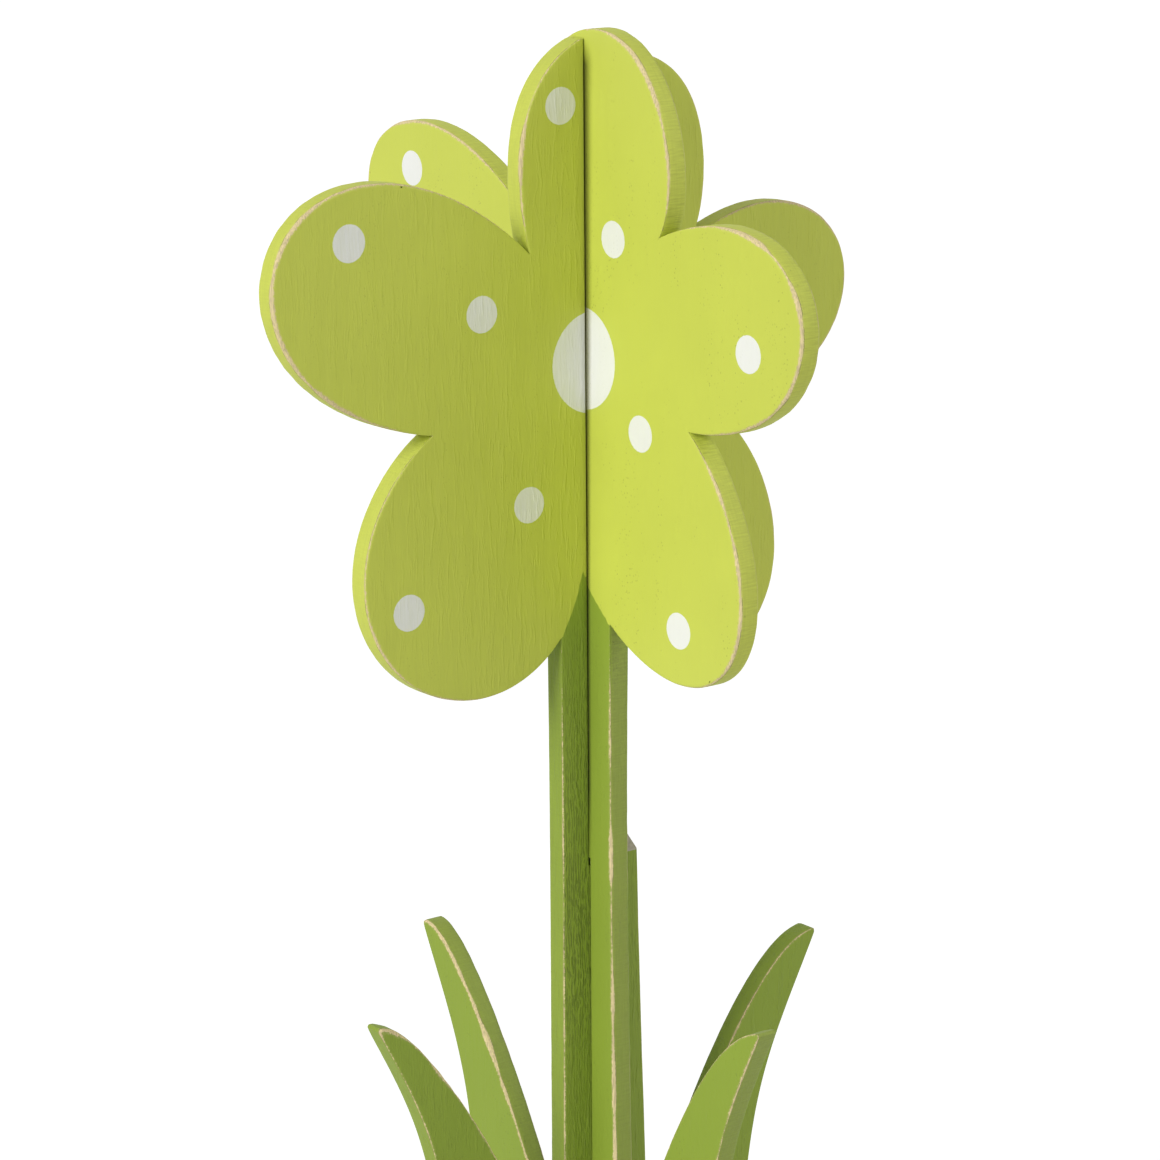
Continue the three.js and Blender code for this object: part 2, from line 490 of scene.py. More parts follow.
def fit_outline(outline, board):
    """The outline with its points moved across, by 2 mm at most, to where the photograph has them.

    The base board's slot fits the cross board more closely than in the CAD, and the leaves' tips
    reach further out.
    """
    across, up = outline.T
    in_slot = np.abs(across) < board["slot_half"] + SLOT_MARGIN
    closed = np.interp(up, (SLOT_LEVEL, FULL_HEIGHT), board["slot_closed"]) / board["slot_half"]
    on_leaf = (np.abs(across) > LEAF_INNER) & (up < LEAF_TOP)
    left, right = board["leaf_stretch"]
    stretch = np.where(across < 0, -left, right) * soft_step(up, *LEAF_BEND) * on_leaf
    return np.column_stack([np.where(in_slot, across * (1 - closed), across + stretch), up])


def corner_radii(outline, is_corner, exposure, greatest):
    """The radius of the sanded corner at each point. It stays below the outline's own radius."""
    radius = LEAST_RADIUS + (greatest - LEAST_RADIUS) * np.minimum(exposure, 1)
    bend = np.where(is_corner, 0, np.radians(turns_of(outline)) / OUTLINE_STEP)
    bend = np.maximum.reduce([np.roll(bend, k) for k in range(-2, 3)])
    radius = np.minimum(radius, 0.6 / np.maximum(bend, 1e-3))
    return sum(np.roll(radius, k) for k in range(-3, 4)) / 7


def wall_rows(outline, inward, radius, half):
    """The wall as rows of points from the front face to the back face, and each point's rim.

    The rim is the distance from the nearest corner: above 0 on a face, and below 0 on the wall.
    """
    rows = []
    for angle in map(math.radians, CORNER_ANGLES):
        rows.append((radius * (1 - math.sin(angle)), radius * (1 - math.cos(angle)) - half))
    wall = rows + [(0 * radius, 2 * half * share + 0 * radius) for share in EDGE_ROWS]
    wall += [(inset, -depth) for inset, depth in reversed(rows)]
    spots, rims = [], []
    for inset, depth in wall:
        place = outline + inward * inset[:, None]
        spots.append(np.column_stack([place[:, 0], depth, place[:, 1]]))
        rims.append(inset - (half - np.abs(depth)))
    return spots, rims


def face_sheet(outline, inward, radius):
    """A flat face as points and triangles: rows beside the outline, a coarser grid in the middle."""
    ring = outline + inward * radius[:, None]
    inner = []
    for gap, every in FACE_ROWS:
        row = (outline + inward * gap)[::every]
        inner.append(row[nearest_on(outline, row)[0] > 0.93 * gap])
    low, high = outline.min(axis=0), outline.max(axis=0)
    grid = np.stack(np.meshgrid(*(np.arange(a, b, FACE_GRID) for a, b in zip(low, high))), axis=-1)
    points = np.vstack([ring, *inner, grid.reshape(-1, 2)])
    made = delaunay_2d_cdt([Vector(p) for p in points], [], [list(range(len(ring)))], 1, 1e-5)
    return np.array([tuple(p) for p in made[0]]), made[2]


def slant_shoulder(spots, half):
    """Raises the shoulder beside the base board's slot, more towards the back face."""
    slant = math.tan(math.radians(SHOULDER_SLANT))
    near = np.clip(1 - np.abs(spots[:, 2] - SLOT_LEVEL) / SHOULDER_REACH, 0, 1)
    beside = np.clip((spots[:, 0] - SHOULDER_START) / SHOULDER_FADE, 0, 1)
    spots[:, 2] += (SHOULDER_LIFT + slant * (spots[:, 1] + half)) * near * beside


def board_mesh(name, board, corner_radius):
    """One board with sanded corners, as a mesh in the frame that carries what its paint needs."""
    turn = Matrix.Rotation(math.radians(board["turn"]), 4, "Z")
    rough, thickness = front_outline(name, turn)
    outline, is_corner = even_outline(rough)
    outline = fit_outline(outline, board)
    inward = inward_of(outline)
    exposure, run = exposure_of(outline, is_corner, inward, board)
    radius = corner_radii(outline, is_corner, exposure, corner_radius)
    half = thickness / 2
    rows, rims = wall_rows(outline, inward, radius, half)
    flat, triangles = face_sheet(outline, inward, radius)

    # The faces of the wall. Those on the sawn shoulder are left bare.
    count = len(outline)
    along = np.arange(count)
    ahead = (along + 1) % count
    across, up = outline.T
    on_shoulder = (np.abs(up - SLOT_LEVEL) < ON_LINE) & (across > SHOULDER_INNER - ON_LINE)
    on_shoulder &= (across < SHOULDER_OUTER + ON_LINE) & (name == "base_board")
    cut = (on_shoulder & on_shoulder[ahead]).astype(float).tolist()
    faces = []
    for low in range(0, count * (len(rows) - 1), count):
        high = low + count
        faces += np.column_stack([low + along, high + along, high + ahead, low + ahead]).tolist()
    bare = cut * (len(rows) - 1) + [0.0] * (2 * len(triangles))

    # The front and the back face.
    spots = list(rows)
    for depth in (-half, half):
        start = sum(map(len, spots))
        faces += [[start + i for i in triangle] for triangle in triangles]
        spots.append(np.column_stack([flat[:, 0], np.full(len(flat), depth), flat[:, 1]]))
    spots = np.vstack(spots)
    pull = np.zeros_like(spots)
    ways_in = np.column_stack([inward[:, 0], 0 * run, inward[:, 1]])
    pull[: count * len(rows)] = np.tile(ways_in, (len(rows), 1))
    if name == "base_board":
        slant_shoulder(spots, half)

    mesh = bpy.data.meshes.new(name + "_dressed")
    mesh.from_pydata((spots * MM).tolist(), [], faces)
    gap, nearest = nearest_on(outline, flat)
    wall_past = past_head(outline + inward * RIM_REACH, board)
    for key, on_wall, on_flat in (
        ("exposure", np.tile(exposure, len(rows)), exposure[nearest]),
        ("edge_run", np.tile(run, len(rows)), run[nearest]),
        ("past_head", np.tile(wall_past, len(rows)), past_head(flat, board)),
        ("rim", np.concatenate(rims), gap),
        ("corner", np.abs(np.concatenate(rims)) < RIM_REACH, 0 * gap),
    ):
        layer = mesh.attributes.new(key, "FLOAT", "POINT")
        values = np.concatenate([on_wall, on_flat, on_flat])
        layer.data.foreach_set("value", values.astype(np.float32))
    layer = mesh.attributes.new("bare_cut", "FLOAT", "FACE")
    layer.data.foreach_set("value", np.array(bare, np.float32))
    layer = mesh.attributes.new("inward", "FLOAT_VECTOR", "POINT")
    layer.data.foreach_set("vector", (pull @ np.array(turn.to_3x3()).T).astype(np.float32).ravel())
    mesh.transform(turn)
    whole = bmesh.new()
    whole.from_mesh(mesh)
    bmesh.ops.remove_doubles(whole, verts=whole.verts, dist=MM * 0.002)
    bmesh.ops.recalc_face_normals(whole, faces=whole.faces)
    whole.to_mesh(mesh)
    whole.free()
    mesh.shade_smooth()
    mesh.set_sharp_from_angle(angle=math.radians(42))
    return mesh


def sanding_tree():
    """Geometry nodes that eat unevenly into the corners and give the board its paint."""
    tree = bpy.data.node_groups.new("Sanded corners", "GeometryNodeTree")
    tree.interface.new_socket("Geometry", in_out="OUTPUT", socket_type="NodeSocketGeometry")
    for name, kind in (
        ("Geometry", "Geometry"),
        ("Depth", "Float"),
        ("Patch Length", "Float"),
        ("Seed", "Float"),
        ("Paint", "Material"),
    ):
        tree.interface.new_socket(name, in_out="INPUT", socket_type="NodeSocket" + kind)
    given = tree.nodes.new("NodeGroupInput").outputs
    tags = "GeometryNodeInputNamedAttribute"
    exposure = add(tree, tags, {"Name": "exposure"}, data_type="FLOAT")
    corner = add(tree, tags, {"Name": "corner"}, data_type="FLOAT")
    inward = add(tree, tags, {"Name": "inward"}, data_type="FLOAT_VECTOR")
    place = add(tree, "GeometryNodeInputPosition", {})
    finer = add(tree, "ShaderNodeMath", {0: 1.0, 1: given["Patch Length"]}, operation="DIVIDE")
    patches = add(
        tree,
        "ShaderNodeTexNoise",
        {"Vector": place, "W": given["Seed"], "Scale": finer, "Detail": 2.0},
        noise_dimensions="4D",
    )
    bite = add(tree, "ShaderNodeMapRange", {"Value": patches, "From Min": 0.4, "From Max": 0.75})
    for share in (exposure, corner, given["Depth"]):
        bite = add(tree, "ShaderNodeMath", {0: bite, 1: share}, operation="MULTIPLY")
    offset = add(tree, "ShaderNodeVectorMath", {0: inward, "Scale": bite}, operation="SCALE")
    moved = add(tree, "GeometryNodeSetPosition", {"Geometry": given["Geometry"], "Offset": offset})
    whole = add(tree, "GeometryNodeRealizeInstances", {"Geometry": moved})
    painted = add(tree, "GeometryNodeSetMaterial", {"Geometry": whole, "Material": given["Paint"]})
    add(tree, "NodeGroupOutput", {"Geometry": painted})
    return tree


def make_board(name, settings):
    """Makes one dressed board, stands it in for its CAD node and lets it ride on its body."""
    board = BOARDS[name]
    mesh = board_mesh(name, board, settings.corner_radius / MM)
    rough = bpy.data.objects.new("sanding_" + name, mesh)
    bpy.context.scene.collection.objects.link(rough)
    sanding = rough.modifiers.new("Sanded corners", "NODES")
    sanding.node_group = bpy.data.node_groups.get("Sanded corners") or sanding_tree()
    values = {
        "Depth": settings.corner_chips,
        "Patch Length": 6 * MM,
        "Seed": float(board["seed"]),
        "Paint": brush_paint(name, board, settings),
    }
    for item in sanding.node_group.interface.items_tree:
        if item.in_out == "INPUT" and item.name in values:
            sanding[item.identifier] = values[item.name]
    depsgraph = bpy.context.evaluated_depsgraph_get()
    made = bpy.data.meshes.new_from_object(rough.evaluated_get(depsgraph))
    bpy.data.objects.remove(rough)
    bpy.data.meshes.remove(mesh)
    for tag in ("corner", "inward"):
        made.attributes.remove(made.attributes[tag])
    made.name = "painted_" + name
    piece = bpy.data.objects.new("painted_" + name, made)
    bpy.context.scene.collection.objects.link(piece)
    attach(piece, name)
    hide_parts(name)
    return piece


def dot_cover(tree, pattern, rim, board, settings):
    """How far the white dots cover a point, from 0 to 1. Their outlines are slightly uneven."""
    math_node, vector, ramp = "ShaderNodeMath", "ShaderNodeVectorMath", "ShaderNodeMapRange"
    dots = [(*board["heart_dot"], settings.heart_dot_radius)]
    for across, up in (board["left_dot"], *DOTS):
        dots.append((across, up + board["rise"], settings.dot_radius))
    flat = add(tree, vector, {0: pattern, 1: (1, 0, 1)}, operation="MULTIPLY")
    # No point is as far from a dot as the flower is high.
    nearest = FULL_HEIGHT
    for across, up, radius in dots:
        away = add(tree, vector, {0: flat, 1: (across, 0, up)}, out=1, operation="DISTANCE")
        past_dot = add(tree, math_node, {0: away, 1: radius / MM}, operation="SUBTRACT")
        nearest = add(tree, math_node, {0: nearest, 1: past_dot}, operation="MINIMUM")
    ragged = add(tree, "ShaderNodeTexNoise", {"Vector": pattern, "Scale": 1.1, "Detail": 2.0})
    nearest = add(tree, math_node, {0: ragged, 1: 0.35, 2: nearest}, operation="MULTIPLY_ADD")
    dot = add(tree, ramp, {"Value": nearest, "From Min": 0.32, "From Max": 0.05})
    on_face = add(tree, ramp, {"Value": rim, "From Min": 0.1, "From Max": 0.4})
    return add(tree, math_node, {0: dot, 1: on_face}, operation="MULTIPLY")


def corner_wear(tree, shifted, rim, depth, exposure, width):
    """Where a corner is sanded bare, where its coat is thin, and the dark line beside the wood.

    All three run from 0 to 1. The strip lies astride a front corner and just inside a back corner.
    Its width in millimetres follows the corner's exposure and patches of 24 mm, and splinters of
    1 mm fray its inner side.
    """
    math_node, ramp, noise = "ShaderNodeMath", "ShaderNodeMapRange", "ShaderNodeTexNoise"
    patches = add(tree, noise, {"Vector": shifted, "Scale": 1 / 24, "Detail": 1.0})
    uneven = {"From Min": 0.38, "From Max": 0.58, "To Min": 0.3, "To Max": 1.0}
    reach = add(tree, ramp, {"Value": patches, **uneven})
    reach = add(tree, math_node, {0: reach, 1: exposure}, operation="MULTIPLY")
    reach = add(tree, math_node, {0: reach, 1: width / 2, 2: -0.12}, operation="MULTIPLY_ADD")
    from_front = {"From Min": -1.0, "From Max": 1.0, "To Min": 0.15, "To Max": -0.9}
    shift = add(tree, ramp, {"Value": depth, **from_front})
    middle = add(tree, math_node, {0: rim, 1: shift}, operation="ADD")
    inside = add(tree, math_node, {0: middle, 1: 0.0}, operation="GREATER_THAN")
    fray = add(tree, noise, {"Vector": shifted, "Scale": 0.85, "Detail": 3.0, "Roughness": 0.7})
    swing = {"From Min": 0.3, "From Max": 0.7, "To Min": -0.5, "To Max": 0.5}
    fray = add(tree, ramp, {"Value": fray, **swing})
    share = add(tree, ramp, {"Value": inside, "To Min": 0.35, "To Max": 1.0})
    fray = add(tree, math_node, {0: fray, 1: share}, operation="MULTIPLY")
    reach = add(tree, math_node, {0: reach, 1: fray}, operation="ADD")
    apart = add(tree, math_node, {0: middle}, operation="ABSOLUTE")
    within = add(tree, math_node, {0: reach, 1: apart}, operation="SUBTRACT")
    worn = add(tree, ramp, {"Value": within, "From Min": -0.04, "From Max": 0.12})
    thin = add(tree, ramp, {"Value": within, "From Min": -0.75, "From Max": 0.0})
    reached = add(tree, ramp, {"Value": exposure, "From Max": 0.5})
    thin = add(tree, math_node, {0: thin, 1: reached}, operation="MULTIPLY")
    beyond = add(tree, ramp, {"Value": within, "From Min": -0.42, "From Max": -0.12})
    short = add(tree, ramp, {"Value": within, "From Min": 0.08, "From Max": -0.1})
    outside = add(tree, math_node, {0: 1.0, 1: inside}, operation="SUBTRACT")
    line_patches = add(tree, noise, {"Vector": shifted, "Scale": 1 / 6, "Detail": 2.0})
    line_patches = add(tree, ramp, {"Value": line_patches, "From Min": 0.4, "From Max": 0.6, "To Max": 0.75})
    dark_line = beyond
    for share in (short, outside, line_patches):
        dark_line = add(tree, math_node, {0: dark_line, 1: share}, operation="MULTIPLY")
    return worn, thin, dark_line


def open_grain(tree, wavy, breaks, across, past, on_face, board):
    """Lines of open grain on the stem's faces, and how strongly they show, both from 0 to 1.

    The lines are 1.2 mm apart and broken every 3 mm or so. They are fainter under the head, near
    the foot and to the right.
    """
    math_node, vector, ramp = "ShaderNodeMath", "ShaderNodeVectorMath", "ShaderNodeMapRange"
    line_at = add(tree, vector, {0: wavy, 1: (1 / 3.82, 0, 1 / 19)}, operation="MULTIPLY")
    bent = {"Scale": 1.0, "Distortion": 4.5, "Detail": 2.0, "Detail Scale": 3.0}
    lines = add(tree, "ShaderNodeTexWave", {"Vector": line_at, **bent}, out=1)
    crowd = add(tree, ramp, {"Value": past, "From Max": 70.0, "To Min": -0.5, "To Max": -0.28})
    crowd = add(tree, math_node, {0: breaks, 1: 2.2, 2: crowd}, operation="MULTIPLY_ADD")
    lines = add(tree, math_node, {0: lines, 1: 0.5, 2: crowd}, operation="MULTIPLY_ADD")
    lines = add(tree, ramp, {"Value": lines, "From Min": 0.95, "From Max": 1.25})
    aside = add(tree, math_node, {0: across}, operation="ABSOLUTE")
    shown = add(tree, math_node, {0: on_face, 1: board["scratches"]}, operation="MULTIPLY")
    for place, low, high, at_low, at_high in (
        (aside, 17.0, 24.0, 1.0, 0.15),
        (across, 0.0, 6.0, 1.0, 0.3),
        (past, 0.0, 8.0, 0.0, 1.0),
        (past, 0.0, 90.0, 0.3, 1.0),
        (past, 130.0, 165.0, 1.0, 0.35),
    ):
        limits = {"From Min": low, "From Max": high, "To Min": at_low, "To Max": at_high}
        share = add(tree, ramp, {"Value": place, **limits})
        shown = add(tree, math_node, {0: shown, 1: share}, operation="MULTIPLY")
    return lines, shown


def paint_pores(tree, wavy, columns, board):
    """A few pores 0.4 mm wide, in upright columns, from 0 to 1."""
    math_node, vector, ramp = "ShaderNodeMath", "ShaderNodeVectorMath", "ShaderNodeMapRange"
    pore_at = add(tree, vector, {0: wavy, 1: (1 / 1.1, 1 / 1.1, 1 / 1.6)}, operation="MULTIPLY")
    pores = add(tree, "ShaderNodeTexVoronoi", {"Vector": pore_at, "Scale": 1.0})
    chance = pores.node.outputs["Color"]
    chosen = add(tree, math_node, {0: chance, 1: 0.72}, operation="GREATER_THAN")
    pores = add(tree, ramp, {"Value": pores, "From Min": 0.26, "From Max": 0.1})
    columns = add(tree, ramp, {"Value": columns, "From Min": 0.5, "From Max": 0.66})
    for share in (chosen, columns, board["pores"]):
        pores = add(tree, math_node, {0: pores, 1: share}, operation="MULTIPLY")
    return pores


def painted_corner_shade(tree, up, on_face, board):
    """The share of the red, green and blue that the painted shade in the boards' inner corner leaves.

    The painted shade is darker where less of the open air is within reach of a point. It is widest at
    the top and a line on the stem. It is tinted brown, so it takes more of the blue.
    """
    math_node, ramp = "ShaderNodeMath", "ShaderNodeMapRange"
    reach = {"From Min": 420.0, "From Max": 640.0, "To Min": 3.2 * MM, "To Max": 9.0 * MM}
    reach = add(tree, ramp, {"Value": up, **reach})
    occluded = "ShaderNodeAmbientOcclusion"
    # The painted shade follows how little of the open air a point sees.
    open_air = add(tree, occluded, {"Distance": reach}, out=1, samples=12)
    corner_shaded = {"From Min": 0.55, "From Max": 0.82, "To Min": board["painted_corner_shade"], "To Max": 1.0}
    corner_shaded = add(tree, ramp, {"Value": open_air, **corner_shaded})
    slotted = {"From Min": SLOT_LEVEL, "From Max": SLOT_LEVEL + SHOULDER_REACH}
    slotted = add(tree, ramp, {"Value": up, **slotted})
    below_top = add(tree, ramp, {"Value": up, "From Min": 636.0, "From Max": 626.0})
    shade_falls = add(tree, math_node, {0: slotted, 1: on_face}, operation="MULTIPLY")
    shade_falls = add(tree, math_node, {0: shade_falls, 1: below_top}, operation="MULTIPLY")
    left = add(tree, "ShaderNodeMix", {0: shade_falls, 2: 1.0, 3: corner_shaded})
    blue_left = add(tree, math_node, {0: left, 1: 1.4}, operation="POWER")
    return add(tree, "ShaderNodeCombineXYZ", {0: left, 1: left, 2: blue_left})


def brush_paint(name, board, settings):
    """Acrylic craft paint, brushed on sawn poplar in thin coats and then sanded along the corners.

    It dries matte, so its sheen is broad and weak. Raised grain shows through the coat as short
    upright ridges, the coat breaks into pores and scratches, and the saw leaves lines across the
    edges. The sanding bares pale wood in a strip of uneven width, with a dark line outside it.
    """
    paint = bpy.data.materials.new("Brushed acrylic on poplar, " + name.replace("_", " "))
    tree = empty_tree(paint)
    math_node, mix, ramp = "ShaderNodeMath", "ShaderNodeMix", "ShaderNodeMapRange"
    noise, vector = "ShaderNodeTexNoise", "ShaderNodeVectorMath"

    # The pattern's own coordinates in millimetres, and what the mesh says about each point.
    place = add(tree, "ShaderNodeTexCoord", {}, out=3)
    turned = {"Vector": place, "Rotation": (0, 0, math.radians(-board["turn"])), "Scale": (1000,) * 3}
    pattern = add(tree, "ShaderNodeMapping", turned)
    across, depth, up = add(tree, "ShaderNodeSeparateXYZ", {0: pattern}).node.outputs
    rim, exposure, past, edge_run, cut = (
        add(tree, "ShaderNodeAttribute", {}, out=2, attribute_name=tag)
        for tag in ("rim", "exposure", "past_head", "edge_run", "bare_cut")
    )
    shifted = add(tree, vector, {0: pattern, 1: (board["seed"] * 137.0, 0, board["seed"] * 71.0)})
    edge_at = add(tree, "ShaderNodeCombineXYZ", {"X": edge_run, "Y": depth})
    on_face = add(tree, ramp, {"Value": rim, "From Min": -0.4, "From Max": 0.4})
    on_edge = add(tree, ramp, {"Value": rim, "From Min": -0.5, "From Max": -1.2})

    # The grain wavers by less than a millimetre every 16 mm.
    waver_at = add(tree, vector, {0: shifted, 1: (1 / 7, 1 / 7, 1 / 16)}, operation="MULTIPLY")
    waver = add(tree, noise, {"Vector": waver_at, "Scale": 1.0, "Detail": 1.0})
    waver = add(tree, ramp, {"Value": waver, "To Min": -1.4, "To Max": 1.4})
    wavy = add(tree, "ShaderNodeCombineXYZ", {"X": waver})
    wavy = add(tree, vector, {0: shifted, 1: wavy}, operation="ADD")

    # Marks stretched along the grain. Their sizes are in millimetres: across, deep and up on the
    # faces, and along and across the edges. Brush streaks, raised grain in sparse ridges, slow
    # swells in the wood, the fibre of bare wood, the gaps in the open grain, the columns in which
    # the pores stand, the saw's lines across the edges and the brush marks along them.
    marks = []
    for at, size, detail, roughness in (
        (wavy, (0.8, 0.8, 9), 2.0, 0.5),
        (wavy, (1.6, 1.6, 11), 3.0, 0.6),
        (wavy, (7, 7, 50), 1.0, 0.5),
        (wavy, (0.5, 0.5, 5.625), 3.0, 0.5),
        (wavy, (0.6, 0.6, 3), 2.0, 0.5),
        (shifted, (7, 7, 50), 2.0, 0.5),
        (edge_at, (0.7, 11, 1), 3.0, 0.7),
        (edge_at, (14, 0.9, 1), 2.0, 0.5),
    ):
        mark_at = {0: at, 1: tuple(1 / length for length in size)}
        mark_at = add(tree, vector, mark_at, operation="MULTIPLY")
        feeds = {"Vector": mark_at, "Scale": 1.0, "Detail": detail, "Roughness": roughness}
        marks.append(add(tree, noise, feeds))
    streaks, ridges, swells, fibre, breaks, columns, saw, brushed = marks
    ridges = add(tree, ramp, {"Value": ridges, "From Min": 0.52, "From Max": 0.76})
    lines, lined = open_grain(tree, wavy, breaks, across, past, on_face, board)
    # Thicker and thinner paint in clouds of 35 mm.
    clouds = add(tree, noise, {"Vector": shifted, "Scale": 1 / 35, "Detail": 2.0})

    # The two greens meet in a brushed line.
    uneven = add(tree, noise, {"Vector": pattern, "Scale": 0.4, "Detail": 3.0})
    line = add(tree, math_node, {0: uneven, 1: 0.8, 2: past}, operation="MULTIPLY_ADD")
    green_part = add(tree, ramp, {"Value": line, "From Min": 0.2, "From Max": 0.6})
    lime, green = (*settings.lime, 1), (*settings.leaf_green, 1)
    coat = add(tree, mix, {0: green_part, 6: lime, 7: green}, out=2, data_type="RGBA")

    # The white of the dots is thinner in the streaks, and fills most of the pores.
    dot = dot_cover(tree, pattern, rim, board, settings)
    hiding = {"From Min": 0.3, "From Max": 0.6, "To Min": 1 - 0.07 * board["grain"], "To Max": 1.0}
    hiding = add(tree, ramp, {"Value": streaks, **hiding})
    dot_shown = add(tree, math_node, {0: dot, 1: hiding}, operation="MULTIPLY")
    white = (*settings.dot_white, 1)
    coat = add(tree, mix, {0: dot_shown, 6: coat, 7: white}, out=2, data_type="RGBA")
    pores = paint_pores(tree, wavy, columns, board)
    unfilled = add(tree, ramp, {"Value": dot, "To Min": 1.0, "To Max": 0.3})
    pores = add(tree, math_node, {0: pores, 1: unfilled}, operation="MULTIPLY")

    # Each kind of mark lightens and darkens the coat a little, where it shows. On the base board's
    # stem the coat between the grain lines is lighter, a painted highlight on the raised grain.
    unsanded = add(tree, ramp, {"Value": exposure, "From Max": 0.7, "To Min": 1.0, "To Max": 0.5})
    sawn = add(tree, math_node, {0: on_edge, 1: unsanded}, operation="MULTIPLY")
    sawn = add(tree, math_node, {0: sawn, 1: board["saw_lines"]}, operation="MULTIPLY")
    swing = 0.035 * board["grain"] + 0.005
    tone = 1.0
    for mark, low, high, at_low, at_high, shown in (
        (streaks, 0.0, 1.0, 1 - swing, 1 + swing, 1.0),
        (clouds, 0.0, 1.0, 0.95, 1.05, 1.0),
        (brushed, 0.0, 1.0, 0.92, 1.08, on_edge),
        (saw, 0.3, 0.7, 0.72, 1.12, sawn),
        (pores, 0.0, 1.0, 1.0, 0.72, 1.0),
        (lines, 0.0, 1.0, 1.12, 0.68, lined),
    ):
        limits = {"From Min": low, "From Max": high, "To Min": at_low, "To Max": at_high}
        shade = add(tree, ramp, {"Value": mark, **limits})
        shade = add(tree, mix, {0: shown, 2: 1.0, 3: shade})
        tone = add(tree, math_node, {0: tone, 1: shade}, operation="MULTIPLY")
    # Painted shade in the inner corner where the boards meet.
    corner_shaded = painted_corner_shade(tree, up, on_face, board)
    coat = add(tree, vector, {0: coat, 1: corner_shaded}, operation="MULTIPLY")
    coat = add(tree, vector, {0: coat, "Scale": tone}, operation="SCALE")

    # Bare wood along the corners, a thin coat beside it, the dark line and the raw sawn shoulder.
    width = settings.worn_width / MM
    worn, thin, dark_line = corner_wear(tree, shifted, rim, depth, exposure, width)
    fibre_range = {"From Min": 0.32, "From Max": 0.62, "To Min": 0.72, "To Max": 1.05}
    fibre = add(tree, ramp, {"Value": fibre, **fibre_range})
    wood = add(tree, vector, {0: settings.bare_wood, "Scale": fibre}, operation="SCALE")
    see_through = add(tree, math_node, {0: thin, 1: 0.3}, operation="MULTIPLY")
    edge_thin = add(tree, math_node, {0: on_edge, 1: board["thin_edges"]}, operation="MULTIPLY")
    edge_thin = add(tree, math_node, {0: edge_thin, 1: green_part}, operation="MULTIPLY")
    see_through = add(tree, math_node, {0: see_through, 1: edge_thin}, operation="MAXIMUM")
    colour = coat
    for share, over in (
        (see_through, wood),
        (worn, wood),
        (dark_line, (*linear("#6d6a35"), 1)),
        (cut, (*linear("#c6beaa"), 1)),
    ):
        colour = add(tree, mix, {0: share, 6: colour, 7: over}, out=2, data_type="RGBA")

    # Relief in millimetres.
    bare = add(tree, math_node, {0: worn, 1: cut}, operation="MAXIMUM")
    coarse = add(tree, ramp, {"Value": past, "From Max": 10.0, "To Min": 1.0, "To Max": 1.7})
    ridges = add(tree, math_node, {0: ridges, 1: coarse}, operation="MULTIPLY")
    lines = add(tree, math_node, {0: lines, 1: lined}, operation="MULTIPLY")
    saw = add(tree, math_node, {0: saw, 1: sawn}, operation="MULTIPLY")
    relief = 0.0
    for mark, height in (
        (streaks, 0.04 * board["grain"]),
        (ridges, 0.14 * board["grain"] + 0.01),
        (swells, 0.3 * board["grain"] + 0.03),
        (lines, -0.16),
        (pores, -0.1),
        (bare, -0.06),
        (dot, 0.03),
        (saw, 0.2),
    ):
        relief = add(tree, math_node, {0: mark, 1: height, 2: relief}, operation="MULTIPLY_ADD")
    normal = add(tree, "ShaderNodeBump", {"Height": relief, "Strength": 1.0, "Distance": MM})

    # The coat is matte where it is thin and dull on bare wood.
    sheen = add(tree, ramp, {"Value": streaks, "To Min": 0.52, "To Max": 0.68})
    roughness = add(tree, mix, {0: bare, 2: sheen, 3: 0.8})
    finish = {"Base Color": colour, "Roughness": roughness, "Normal": normal, "IOR": 1.47}
    shader = add(tree, "ShaderNodeBsdfPrincipled", finish)
    add(tree, "ShaderNodeOutputMaterial", {"Surface": shader})
    return paint


def seen_straight(tree):
    """1 for what the camera sees straight, in a gloss or through glass, and 0 for the rest."""
    path = tree.nodes.new("ShaderNodeLightPath").outputs
    seen = path["Is Camera Ray"]
    for ray in ("Is Glossy Ray", "Is Transmission Ray"):
        seen = add(tree, "ShaderNodeMath", {0: seen, 1: path[ray]}, operation="MAXIMUM")
    return seen


def floor_finish(colour):
    """Matt studio paper. What looks at it straight sees it white, and it still takes the shadow."""
    paper = bpy.data.materials.new("Studio paper")
    tree = empty_tree(paper)
    tooth = add(tree, "ShaderNodeTexNoise", {"Scale": 400.0, "Detail": 2.0})
    relief = add(tree, "ShaderNodeBump", {"Height": tooth, "Strength": 0.05, "Distance": MM})
    shade = add(tree, "ShaderNodeBsdfDiffuse", {"Color": (*colour, 1), "Normal": relief})
    lift = add(tree, "ShaderNodeMath", {0: seen_straight(tree), 1: 0.5}, operation="MULTIPLY")
    glow = add(tree, "ShaderNodeEmission", {"Color": (1, 1, 1, 1), "Strength": lift})
    both = add(tree, "ShaderNodeAddShader", {0: shade, 1: glow})
    add(tree, "ShaderNodeOutputMaterial", {"Surface": both})
    return paper


def studio_sky(strength):
    """Even light from all round, seen as plain white by the camera and in reflections."""
    world = bpy.data.worlds.new("Studio")
    bpy.context.scene.world = world
    tree = empty_tree(world)
    level = add(tree, "ShaderNodeMix", {0: seen_straight(tree), 2: strength, 3: 1.0})
    sky = add(tree, "ShaderNodeBackground", {"Color": (1, 1, 1, 1), "Strength": level})
    add(tree, "ShaderNodeOutputWorld", {"Surface": sky})


class FLOWER_OT_base_board(bpy.types.Operator):
    """Make the painted base board, which stands and has its slot open at the top"""

    bl_idname = "flower.base_board"
    bl_label = "Base Board"

    def execute(self, context):
        make_board("base_board", context.scene.flower_paint)
        return {"FINISHED"}


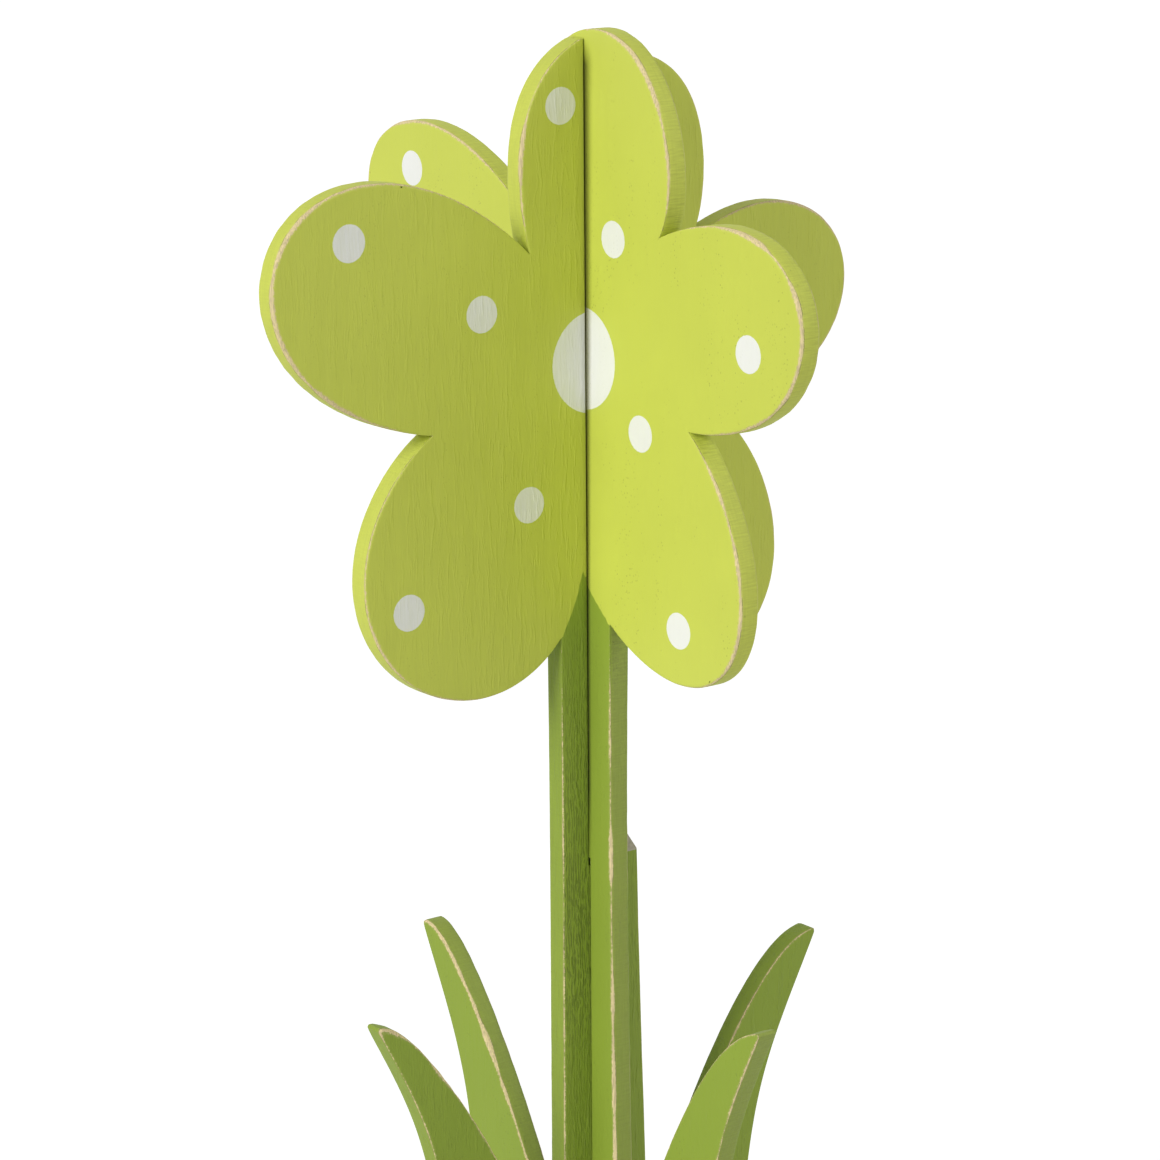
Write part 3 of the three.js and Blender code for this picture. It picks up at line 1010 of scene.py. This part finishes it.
class FLOWER_OT_cross_board(bpy.types.Operator):
    """Make the painted cross board, which drops onto the base board"""

    bl_idname = "flower.cross_board"
    bl_label = "Cross Board"

    def execute(self, context):
        make_board("cross_board", context.scene.flower_paint)
        return {"FINISHED"}


class FLOWER_OT_stage(bpy.types.Operator):
    """Lay the floor, set the light and stand the camera where the photograph was taken"""

    bl_idname = "flower.stage"
    bl_label = "Stage"

    def execute(self, context):
        scene = context.scene
        settings = scene.flower_stage

        sheet = bpy.data.meshes.new("floor")
        quarters = ((-1, -1), (1, -1), (1, 1), (-1, 1))
        corners = [(x * FLOOR_REACH, y * FLOOR_REACH, 0) for x, y in quarters]
        sheet.from_pydata(corners, [], [(0, 1, 2, 3)])
        sheet.materials.append(floor_finish(settings.floor_colour))
        floor = bpy.data.objects.new("floor", sheet)
        scene.collection.objects.link(floor)

        # The key light stands to the left and above, and a broader one to the front right.
        for name, strength, spread, source in (
            ("key", settings.key_light, 28, (-0.884, -0.109, 0.454)),
            ("front", settings.front_light, 50, (0.612, -0.612, 0.5)),
        ):
            light = bpy.data.lights.new(name, "SUN")
            light.energy = strength * math.pi
            light.angle = math.radians(spread)
            lamp = bpy.data.objects.new(name, light)
            lamp.rotation_euler = Vector(source).to_track_quat("Z", "Y").to_euler()
            scene.collection.objects.link(lamp)
        studio_sky(settings.fill_light)

        azimuth = math.radians(CAMERA_AZIMUTH)
        ahead = Vector((-math.sin(azimuth), math.cos(azimuth), 0))
        ahead = Matrix.Rotation(math.radians(CAMERA_YAW), 3, "Z") @ ahead
        right = Vector((ahead.y, -ahead.x, 0))
        pitch = math.radians(CAMERA_PITCH)
        roll = math.radians(CAMERA_ROLL)
        view = math.cos(pitch) * ahead - math.sin(pitch) * Vector((0, 0, 1))
        over = math.cos(pitch) * Vector((0, 0, 1)) + math.sin(pitch) * ahead
        camera_right = math.cos(roll) * right + math.sin(roll) * over
        camera_up = math.cos(roll) * over - math.sin(roll) * right
        lens = bpy.data.cameras.new("camera")
        lens.lens = CAMERA_LENS
        lens.sensor_width = CAMERA_SENSOR
        lens.clip_end = 200
        camera = bpy.data.objects.new("camera", lens)
        turn = Matrix((camera_right, camera_up, -view)).transposed()
        camera.matrix_world = Matrix.Translation(CAMERA_PLACE) @ turn.to_4x4()
        scene.collection.objects.link(camera)
        scene.camera = camera
        scene.view_settings.view_transform = "Standard"
        return {"FINISHED"}


class FLOWER_PT_panel(bpy.types.Panel):
    """The flower's settings and the buttons that make it"""

    bl_label = "Wooden Flower"
    bl_idname = "FLOWER_PT_panel"
    bl_space_type = "VIEW_3D"
    bl_region_type = "UI"
    bl_category = "Flower"

    def draw(self, context):
        for settings in (context.scene.flower_paint, context.scene.flower_stage):
            box = self.layout.box()
            for name in settings.__annotations__:
                box.prop(settings, name)
        self.layout.operator(FLOWER_OT_base_board.bl_idname)
        self.layout.operator(FLOWER_OT_cross_board.bl_idname)
        self.layout.operator(FLOWER_OT_stage.bl_idname)


CLASSES = (
    FlowerPaint,
    FlowerStage,
    FLOWER_OT_base_board,
    FLOWER_OT_cross_board,
    FLOWER_OT_stage,
    FLOWER_PT_panel,
)


def register():
    for item in CLASSES:
        bpy.utils.register_class(item)
    bpy.types.Scene.flower_paint = bpy.props.PointerProperty(type=FlowerPaint)
    bpy.types.Scene.flower_stage = bpy.props.PointerProperty(type=FlowerStage)


def unregister():
    del bpy.types.Scene.flower_stage
    del bpy.types.Scene.flower_paint
    for item in reversed(CLASSES):
        bpy.utils.unregister_class(item)


def main():
    register()
    bpy.ops.flower.base_board()
    bpy.ops.flower.cross_board()
    bpy.ops.flower.stage()


if __name__ == "__main__":
    main()
